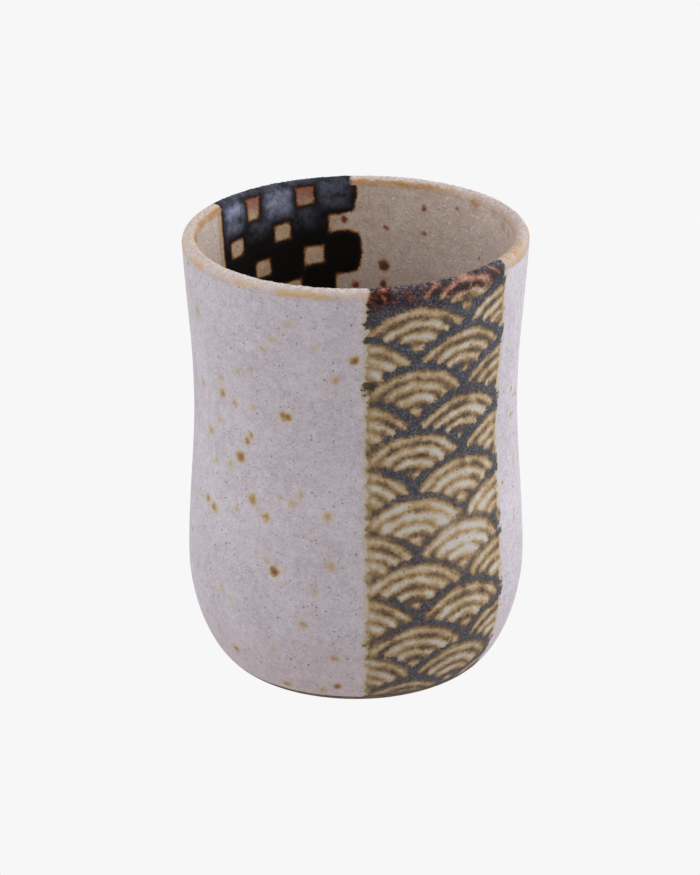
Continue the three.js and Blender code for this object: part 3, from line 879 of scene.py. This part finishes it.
def ironWave(add, coords):  # the wash between the strokes, its rust by the lip and how it thins
    ramps = waveRamps
    gap, line, left = [add("Attribute " + label).outputs["Fac"] for label in ("strokeGap", "lineGap", "leftGap")]
    height = add("SeparateXYZ", coords).outputs["Z"]
    fuzz, broad = ironEdge(add, coords)
    wide = uneven(add, coords, 1 / noiseSize["stroke"], 2.0, 0.5)
    gap = add("MULTIPLY_ADD", fuzz, ragged["stroke"], gap)
    gap = add("MULTIPLY_ADD", wide, ragged["strokeWidth"], gap)
    line = add("MULTIPLY_ADD", fuzz, ragged["line"], line)
    line = add("MULTIPLY_ADD", broad, ragged["lineSway"], line)
    # the dark lines are thinner low down and by the left edge
    beside = limited(add, add("MapRange", height, *ramps["thinBeside"]), left, *ramps["beside"])
    finer = add("ADD", add("MapRange", height, *ramps["thinLow"]), beside)
    line = add("ADD", line, finer)
    wash = 0.0
    for spot, reach, most in washes:
        near = nearness(add, coords, [part * mm for part in spot], reach * mm, most, washFull)
        wash = add("MAXIMUM", near, wash)
    patch = add("TexNoise", coords, 1 / noiseSize["thin"], 2.0, 0.5)
    thin = add("MULTIPLY_ADD", wash, washThins, add("MapRange", patch, *ramps["thinPatch"]))
    thin = add("MAXIMUM", thin, add("MULTIPLY", beside, fadeBeside))
    depth = add("MULTIPLY", gap, add("SUBTRACT", 1.0, thin))
    depth = add("MapRange", depth, 0.0, ironLook["fanDepth"])
    tone = add("ValToRGB", depth, stops=ironLook["fan"])
    tone = add("Mix RGBA", limited(add, wash, depth, *ramps["washed"]), tone, ironLook["washed"])
    # the brush skipped: dark dashes along the lines between the strokes
    dash = add("MapRange", add("TexNoise", coords, 1 / noiseSize["dash"], 3.0, 0.7), *ramps["dashes"])
    tone = add("Mix RGBA", limited(add, dash, depth, *ramps["between"]), tone, ironLook["dash"])
    # by the lip the strokes turn rust red
    rusty = add("MapRange", add("MULTIPLY_ADD", fuzz, ragged["rust"], height), *ramps["rusty"])
    tone = add("Mix RGBA", rusty, tone, add("ValToRGB", depth, stops=ironLook["lipFan"]))
    # slate round each fan, in open places and in the top corner by the lip
    slate = limited(add, add("MapRange", line, *ramps["line"]), gap, *ramps["clear"])
    bare = add("MapRange", add("SUBTRACT", gap, finer), *ramps["open"])
    less = add("MULTIPLY_ADD", wash, -washClears, 1.0)
    slate = add("MULTIPLY", add("MAXIMUM", slate, bare), less)
    rise = add("MULTIPLY_ADD", fuzz, ragged["corner"], add("MULTIPLY_ADD", left, cornerSlope, height))
    corner = limited(add, add("MapRange", rise, *ramps["cornerTop"]), left, *ramps["corner"])
    slate = add("MAXIMUM", slate, corner)
    crystal = add("TexVoronoi", coords, 1 / ironLook["slateGrain"]).outputs["Color"]
    crystal = add("SeparateColor", crystal).outputs["Red"]
    dark = add("ValToRGB", crystal, stops=ironLook["slate"])
    # iron that ran thin over the edge: black scale broken by rust
    some = add("MapRange", add("TexNoise", coords, 1 / noiseSize["rustPatch"], 1.0, 0.5), *ramps["rustSome"])
    some = add("MAXIMUM", some, add("MapRange", left, *ramps["rustMost"]))
    scale = add("MULTIPLY", limited(add, rusty, left, *ramps["rustHalf"]), some)
    rust = add("TexNoise", coords, 1 / noiseSize["rust"], 4.0, 0.75)
    dark = add("Mix RGBA", scale, dark, add("ValToRGB", rust, stops=ironLook["rust"]))
    edge = limited(add, add("MapRange", left, *ramps["leftEdge"]), patch, *ramps["edgePatch"])
    dark = add("Mix RGBA", edge, dark, ironLook["bleed"])
    colour = add("Mix RGBA", slate, tone, dark)
    return add("Mix RGBA", speckAmount(add, coords), colour, ironLook["speck"]), slate, fuzz, broad


bleeds = [(70.5, 1.6), (57, 0.6), (43.5, 0.4), (30.5, 0.5), (16.5, 0.4)]  # height and reach in mm
bleedHalf = 1.4 * mm  # half the height of a bleed
edgeRamps = {  # ramps for the band's edges
    "bleed": (3.0 * mm, 1.0 * mm),
    "burnt": (0.25 * mm, 0.9 * mm, 0.0, 0.9),
    "thickBleed": (87 * mm, 83 * mm, 0.0, 0.7 * mm),
    "furthest": (-1.0 * mm, -1.8 * mm, 0.0, 2.5 * mm),
    "halo": (-1.1 * mm, 0.1 * mm, 0.0, 0.6),
    "fringe": (1.1 * mm, 0.3 * mm),
    "fringeUp": (32 * mm, 55 * mm, 0.35, 0.7),
    "plain": (0.7, 0.1),
    "cover": (-0.2 * mm, 0.45 * mm),
    # iron pool and painted foot shadow: heights where it starts and where it is full
    "poolAndFootShade": (3.3 * mm, 2.2 * mm, 0.0, 0.9),
    "dry": (84 * mm, 88 * mm, 0.5, ironLook["shine"]),
    "rough": (0.0, 1.0, 0.6, 0.48),
}


def waveIron(add, coords):
    # iron slip under satin glaze: slate where thick, breaking to brown, gold and cream where it thins
    ramps = edgeRamps
    glaze, relief = outerGround(add, coords)[:2]
    beside = [spot for spot in glazeSpots if spot[0] > spotsFrom["wave"]]
    glaze = addSpots(add, coords, glaze, beside, spotTones["outer"])
    colour, slate, fuzz, broad = ironWave(add, coords)
    left, right = [add("Attribute " + label).outputs["Fac"] for label in ("leftGap", "rightGap")]
    inside = add("MINIMUM", left, right)
    edge = add("MULTIPLY_ADD", broad, ragged["edgeSway"], inside)
    edge = add("MULTIPLY_ADD", fuzz, ragged["edge"], edge)
    level = add("SeparateXYZ", coords).outputs["Z"]
    ran = 0.0
    for middle, reach in bleeds:
        off = add("MULTIPLY_ADD", fuzz, ragged["bleed"], add("SUBTRACT", level, middle * mm))
        one = add("MapRange SMOOTHSTEP", add("ABSOLUTE", off), bleedHalf, 0.0, 0.0, reach * mm)
        ran = add("MAXIMUM", one, ran)
    ran = limited(add, ran, left, *ramps["bleed"])
    edge = add("ADD", edge, ran)
    burnt = add("MapRange", ran, *ramps["burnt"])
    colour = add("Mix RGBA", burnt, colour, ironLook["bleed"])
    bleed = add("MapRange", level, *ramps["thickBleed"])
    edge = add("MULTIPLY_ADD", slate, bleed, edge)  # thick iron bleeds out
    edge = add("SUBTRACT", edge, add("MapRange", inside, *ramps["furthest"]))
    glaze = add("Mix RGBA", add("MapRange SMOOTHSTEP", edge, *ramps["halo"]), glaze, ironLook["halo"])
    fringe = limited(add, add("MapRange SMOOTHSTEP", edge, *ramps["fringe"]), level, *ramps["fringeUp"])
    fringe = limited(add, fringe, add("MAXIMUM", slate, burnt), *ramps["plain"])
    colour = add("Mix RGBA", fringe, colour, ironLook["fringe"])
    # iron pooled at the foot, with painted shadow where the surface turns under: a dark line along the band's lower
    # edge
    low = add("MapRange", add("MULTIPLY_ADD", fuzz, ragged["poolAndFootShade"], level), *ramps["poolAndFootShade"])
    colour = add("Mix RGBA", low, colour, ironLook["poolAndFootShade"])
    colour = add("Mix RGBA", add("MapRange SMOOTHSTEP", edge, *ramps["cover"]), glaze, colour)
    rough = add("MapRange", slate, *ramps["rough"])
    finish(add, colour, rough, relief, add("MapRange", level, *ramps["dry"]))


checkRamps = {
    "warm": (84.4 * mm, 87.4 * mm),
    "warmSides": ((-4 * mm, -7 * mm), (-26.2 * mm, -25.2 * mm)),
    "iron": (1.0 * mm, -0.5 * mm),
    "stain": (3.6 * mm, 1.8 * mm),
    "stainSide": (-2.8 * mm, -5 * mm),
    # where the painted sheen rises up the band, then how it weakens on the right, by noise, on the lip and towards
    # each square's edge
    "paintedSheen": (78.6 * mm, 89 * mm, 0.0, 0.95),
    "turned": (-12.5 * mm, -8 * mm, 1.0, 0.38),
    "scale": (0.35, 0.65, 0.1, 1.0),
    "crest": (0.5 * mm, 2.2 * mm, 0.45, 1.0),
    "deep": (-0.3 * mm, -2.0 * mm, 0.2, 1.0),
    "cover": (0.05, 0.42),
    "solid": (0.58, 0.9),
    "rough": (0.3, 0.8, 0.58, 0.4),
}


def ironCheck(add, coords, glaze):  # near black squares over the glaze, with a painted bluish sheen where they face the light
    ramps = checkRamps
    place = add("SeparateXYZ", coords).outputs
    warm = add("MapRange", place["Z"], *ramps["warm"])
    for side in ramps["warmSides"]:
        warm = limited(add, warm, place["X"], *side)
    fuzz = ironEdge(add, coords)[0]
    gap = add("MULTIPLY_ADD", fuzz, ragged["check"], add("Attribute squareGap").outputs["Fac"])
    iron = add("MapRange", gap, *ramps["iron"])
    stain = limited(add, add("MapRange", gap, *ramps["stain"]), place["X"], *ramps["stainSide"])
    glaze = tinted(add, stain, glaze, ironLook["stainTint"])
    # painted sheen: a bluish reflection painted into the upper squares, strongest in their middles
    paintedSheen = add("MapRange SMOOTHSTEP", place["Z"], *ramps["paintedSheen"])
    scale = add("TexNoise", coords, 1 / noiseSize["scale"], 5.0, 0.65)
    crest = add("Attribute crestGap").outputs["Fac"]
    for name, value in (("turned", place["X"]), ("scale", scale), ("crest", crest), ("deep", gap)):
        paintedSheen = limited(add, paintedSheen, value, *ramps[name])
    black = add("Mix RGBA", paintedSheen, ironLook["black"], ironLook["paintedSheen"])
    colour = add("ValToRGB", iron, stops=ironLook["check"])
    colour = add("Mix RGBA", add("MapRange SMOOTHSTEP", iron, *ramps["cover"]), glaze, colour)
    colour = tinted(add, warm, colour, ironLook["rustTint"])
    return add("Mix RGBA", add("MapRange", iron, *ramps["solid"]), colour, black), iron


def checkIron(add, coords):
    # thick iron slip under glaze: near black with a painted blue satin sheen, rust and gold where it thins at the
    # edges
    glaze, relief = innerGround(add, coords)[:2]
    glaze = add("Mix RGBA", crestOchre(add, coords)[1], glaze, glazeLook["ochreInside"])
    beside = [spot for spot in wellSpots if spot[0] > spotsFrom["check"]]
    glaze = addSpots(add, coords, glaze, beside, spotTones["inner"], inside=True)
    colour, iron = ironCheck(add, coords, glaze)
    finish(add, colour, add("MapRange", iron, *checkRamps["rough"]), relief, ironLook["shine"])


lipRamps = {  # ramps for the lip
    "turn": (-0.2 * mm, 1.0 * mm),
    "sandy": (0.4, 0.6),
    "top": (1.6 * mm, 0.4 * mm, 0.0, 0.85),
    "warm": (12 * mm, 4 * mm),
    "streak": (0.42, 0.6, 0.2, 0.95),
    "worn": (0.5, 0.62, 0.0, 0.6),
    "frontReach": (1.9 * mm, 0.8 * mm),
    "backReach": (-1.6 * mm, -0.6 * mm),
    "ends": (0.0, 0.7 * mm),
}
streakWay = (0.12, 1.0, 0.12)  # streaks run across the crest
lipSides = (22 * mm, 29 * mm)  # where the side tints, the right one painted shade, start and where they are full


def lipGlaze(add, coords, iron=None):
    # glaze worn thin over the lip: pale sand on the crest between two warm ochre lines
    ramps = lipRamps
    outer, relief, mottle = outerGround(add, coords)
    outside, inside, gap = crestOchre(add, coords)
    colour = add("Mix RGBA", add("MapRange", gap, *ramps["turn"]), outer, innerGround(add, coords)[0])
    sand = add("TexNoise", coords, 1 / noiseSize["sand"], 3.0, 0.65)
    sandy = add("Mix RGBA", add("MapRange", sand, *ramps["sandy"]), glazeLook["tan"], glazeLook["sand"])
    top = add("MapRange SMOOTHSTEP", add("ABSOLUTE", gap), *ramps["top"])
    colour = add("Mix RGBA", top, colour, sandy)
    warm = add("MapRange", add("VectorMath DISTANCE", coords, glazeLook["warmLip"]), *ramps["warm"])
    across = add("VectorMath MULTIPLY", coords, streakWay)
    warm = limited(add, warm, add("TexNoise", across, 1 / noiseSize["streak"], 2.0, 0.5), *ramps["streak"])
    colour = add("Mix RGBA", add("MAXIMUM", outside, warm), colour, glazeLook["ochre"])
    colour = add("Mix RGBA", inside, colour, glazeLook["ochreInside"])
    across = add("SeparateXYZ", coords).outputs["X"]
    # painted shade darkens the lip's right side; the left side is tinted warmer
    for facing, tint in glazeLook["sideShadeAndTint"]:
        side = add("MapRange", across, *[facing * place for place in lipSides])
        colour = tinted(add, side, colour, tint)
    if iron == "front":
        # pale grains on the front lip's crest: partly worn glaze, partly a painted highlight
        worn = limited(add, top, sand, *ramps["worn"])
        tone = add("Mix RGBA", worn, ironWave(add, coords)[0], glazeLook["frostAndHighlight"])
    if iron == "back":
        # the back lip takes the check's iron with its painted sheen
        tone = ironCheck(add, coords, colour)[0]
    if iron:
        fuzz = ironEdge(add, coords)[0]
        reach = add("MapRange", gap, *ramps[iron + "Reach"])
        ends = add("MULTIPLY_ADD", fuzz, ragged["lipEnd"], add("Attribute endGap").outputs["Fac"])
        colour = add("Mix RGBA", limited(add, reach, ends, *ramps["ends"]), colour, tone)
    rough = add("MapRange", mottle, *glazeLook["lipRough"])
    relief = add("MULTIPLY_ADD", sand, glazeLook["sandRise"], relief)
    finish(add, colour, rough, relief, ironLook["shine"] if iron else 0.5, glazeLook["lipBump"])


clayLook = {
    "tones": {0.3: "#4d3728", 0.5: "#6b4f3b", 0.7: "#86684f"},
    "shade": (0.3, 0.7, 0.85, 1.12),
    "rough": (0.3, 0.7, 0.8, 0.95),
    "bump": 0.12 * mm,
}


def bareClay(add, coords):
    # unglazed stoneware, fired brown: dry, sandy, no highlight
    patch = add("TexNoise", coords, 1 / noiseSize["clayPatch"], 4.0, 0.6)
    colour = add("ValToRGB", patch, stops=clayLook["tones"])
    sand = add("TexNoise", coords, 1 / noiseSize["claySand"], 3.0, 0.65)
    colour = add("VectorMath SCALE", colour, add("MapRange", sand, *clayLook["shade"]))
    finish(add, colour, add("MapRange", sand, *clayLook["rough"]), sand, depth=clayLook["bump"])


looks = {
    "outer": ("feldsparGlazeSatin", outerGlaze),
    "inner": ("ashGlazeWarmSatin", innerGlaze),
    "wave": ("ironSlipWaveSatin", waveIron),
    "check": ("ironSlipCheckSatin", checkIron),
    "ochreLip": ("ochreLipSandy", lipGlaze),
    "ironLipFront": ("ironLipRust", partial(lipGlaze, iron="front")),
    "ironLipBack": ("ironLipBlack", partial(lipGlaze, iron="back")),
    "clay": ("bareStoneware", bareClay),
}
materials = {}
for look, (name, paint) in looks.items():
    materials[look] = bpy.data.materials.new(name)
    add = emptyTree(materials[look])
    paint(add, add("TexCoord").outputs["Object"])
print("stage 3: materials made,", len(materials))


# Pieces

coat = {"thickness": 0.4 * mm, "ironThickness": 0.02 * mm}
lipLap = 0.35 * mm  # how far each band laps over the lip, so that no joint shows
bandMargin = 4.4 * degree  # plain glaze kept beside the iron, so that it can bleed out
checkFrom = 171 * degree  # where the check's coat starts, with room for the spots beside it
checkLowEdge = 50 * mm
fullTurn = (0.0, 2 * math.pi)
baseSizes = {
    **hand, "Section": sectionLine, "CrestLength": crestLength, "RimRadius": cupShape["rimRadius"],
    "Height": cupShape["height"], "Thickness": coat["thickness"],
}
ironSizes = {**ironStand, "Thickness": coat["ironThickness"]}
meshGrid = {  # columns and rows of points
    "outerGlazeCoat": (321, 141), "innerGlazeCoat": (241, 131), "waveBandIron": (115, 301),
    "checkBandIron": (111, 116), "footRing": (241, 61), "clayBase": (241, 121), "clayWall": (241, 161),
}
pieces = {}


def turnPiece(name, tree, look, angles, lengths, extras=None):
    columns, rows = meshGrid[name]
    pieces[name] = makePiece(name, tree, {
        **baseSizes, **(extras or {}), "StartAngle": angles[0], "EndAngle": angles[1], "StartLength": lengths[0],
        "EndLength": lengths[1], "Columns": columns, "Rows": rows, "Material": materials[look]})


glazeTree = pieceTree("glazeCoat")
turnPiece("outerGlazeCoat", glazeTree, "outer", fullTurn, (glazeFoot, lipFrom))
turnPiece("innerGlazeCoat", glazeTree, "inner", fullTurn, (lipTo, along[-1]))
waveTree = pieceTree("waveBandIron", {**waveBand, **ironStand}, wavePattern)
waveAngles = (waveBand["BandStart"] - bandMargin, waveBand["BandEnd"] + bandMargin)
turnPiece("waveBandIron", waveTree, "wave", waveAngles, (glazeFoot, lipFrom + lipLap), {**waveBand, **ironSizes})
checkTree = pieceTree("checkBandIron", {**checkBand, **ironStand}, checkPattern)
checkAngles = (checkFrom, checkBand["BandEnd"] + bandMargin)
checkLengths = (lipTo - lipLap, lengthAt(checkLowEdge, inside=True))
turnPiece("checkBandIron", checkTree, "check", checkAngles, checkLengths, {**checkBand, **ironSizes})

lipBands = {"ochreLip": {}, "ironLipFront": waveBand, "ironLipBack": checkBand}
lipTrees = {
    "ochreLip": pieceTree("lipCoat", lipSand, lipPattern),
    "ironLipFront": pieceTree("waveLipCoat", {**lipSand, **waveBand}, waveLipPattern),
    "ironLipBack": pieceTree("checkLipCoat", {**lipSand, **checkBand}, checkLipPattern),
}
for name, arc in lipArcs.items():
    look, first, last = arc[2:]
    angles = (first * degree, last * degree)
    meshGrid[name] = (round((angles[1] - angles[0]) * cupShape["rimRadius"] / lipMesh["spacing"]), lipMesh["rows"])
    turnPiece(name, lipTrees[look], look, angles, (lipFrom, lipTo), {**lipBands[look], **lipSand})

clayTree = pieceTree("turnedClay", shelled=False)
for name, corners in clayLines.items():
    line = drawSection(name + "Section", corners)
    lengths = (0.0, lengthsAlong(corners)[-1])
    turnPiece(name, clayTree, "clay", fullTurn, lengths, {"Section": line, "CrestLength": 0.0})
    bpy.data.objects.remove(line)

standsFor = {
    "outerGlazeCoat": ("outer_glaze", "outer_glaze"),
    "innerGlazeCoat": ("inner_glaze", "inner_glaze"),
    "waveBandIron": ("wave_band", "wave_iron"),
    "checkBandIron": ("check_band", "check_iron"),
    "footRing": ("foot_ring", "bare_clay"),
    "clayBase": ("clay_base", "bare_clay"),
    "clayWall": ("clay_wall", "bare_clay"),
    **{name: arc[:2] for name, arc in lipArcs.items()},
}
for name, (node, slotName) in standsFor.items():
    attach(pieces[name], "root")
    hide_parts(node)
bpy.data.objects.remove(sectionLine)
print("stage 4: pieces made,", len(pieces))


# Stage, light and camera

studio = {
    "pale": "#f7f7f7",
    "floorSize": 12.0,
    "floorDrop": 0.2 * mm,
    "worldLight": 0.55,
    "floorLight": 0.63,
    "panelSize": 0.5,
    "panelAim": Vector((0, 0, 0.05)),
    "panels": {  # place in metres, watts and tint of each soft panel
        "leftPanel": ((-0.5, 0.06, 0.25), 1.45, "#f6fbff"),
        "rightPanel": ((0.5, 0.1, 0.25), 2.6, "#f4faff"),
        "topPanel": ((0.0, -0.35, 0.75), 1.5, "#fffaf4"),
    },
}
camera = {  # the photograph's view of the cup
    "elevation": 23.32 * degree,
    "distance": 680 * mm,
    "aim": Vector((-1.15, 0, 46.0)) * mm,
    "lens": 139.35,
    "sensor": 36,
    "roll": -0.094 * degree,
    "clip": (0.01, 50),
}


def buildStage():
    half = studio["floorSize"] / 2
    corners = [(-half, -half, 0), (half, -half, 0), (half, half, 0), (-half, half, 0)]
    sheet = bpy.data.meshes.new("floor")
    sheet.from_pydata(corners, [], [(0, 1, 2, 3)])
    floor = bpy.data.objects.new("floor", sheet)
    floor.location.z = -studio["floorDrop"]
    scene.collection.objects.link(floor)
    paper = bpy.data.materials.new("paperSweep")  # lit paper that shows even and nearly white
    add = emptyTree(paper)
    toEye = add("LightPath").outputs["Is Camera Ray"]
    given, shown = [add("Emission", studio["pale"], light) for light in (studio["floorLight"], 1.0)]
    add("OutputMaterial", add("MixShader", toEye, given, shown))
    sheet.materials.append(paper)
    world = bpy.data.worlds.new("studioAir")
    add = emptyTree(world)
    toEye = add("LightPath").outputs["Is Camera Ray"]
    strength = add("MapRange", toEye, 0.0, 1.0, studio["worldLight"], 1.0)
    add("OutputWorld", add("Background", studio["pale"], strength))
    scene.world = world
    for name, (place, watts, tint) in studio["panels"].items():
        lamp = bpy.data.lights.new(name, "AREA")
        lamp.shape = "SQUARE"
        lamp.size = studio["panelSize"]
        lamp.energy = watts
        lamp.color = toLinear(tint)[:3]
        panel = bpy.data.objects.new(name, lamp)
        panel.location = place
        panel.rotation_mode = "QUATERNION"
        panel.rotation_quaternion = (studio["panelAim"] - panel.location).to_track_quat("-Z", "Y")
        scene.collection.objects.link(panel)


def buildCamera():
    lens = bpy.data.cameras.new("photoView")
    lens.lens = camera["lens"]
    lens.sensor_width = camera["sensor"]
    lens.clip_start, lens.clip_end = camera["clip"]
    eye = bpy.data.objects.new("photoView", lens)
    back = Vector((0, -math.cos(camera["elevation"]), math.sin(camera["elevation"])))
    turn = (-back).to_track_quat("-Z", "Y").to_matrix().to_4x4() @ Matrix.Rotation(camera["roll"], 4, "Z")
    eye.matrix_world = Matrix.Translation(camera["aim"] + back * camera["distance"]) @ turn
    scene.collection.objects.link(eye)
    scene.camera = eye
    scene.view_settings.view_transform = "Standard"


buildStage()
buildCamera()
print("stage 5: studio ready")
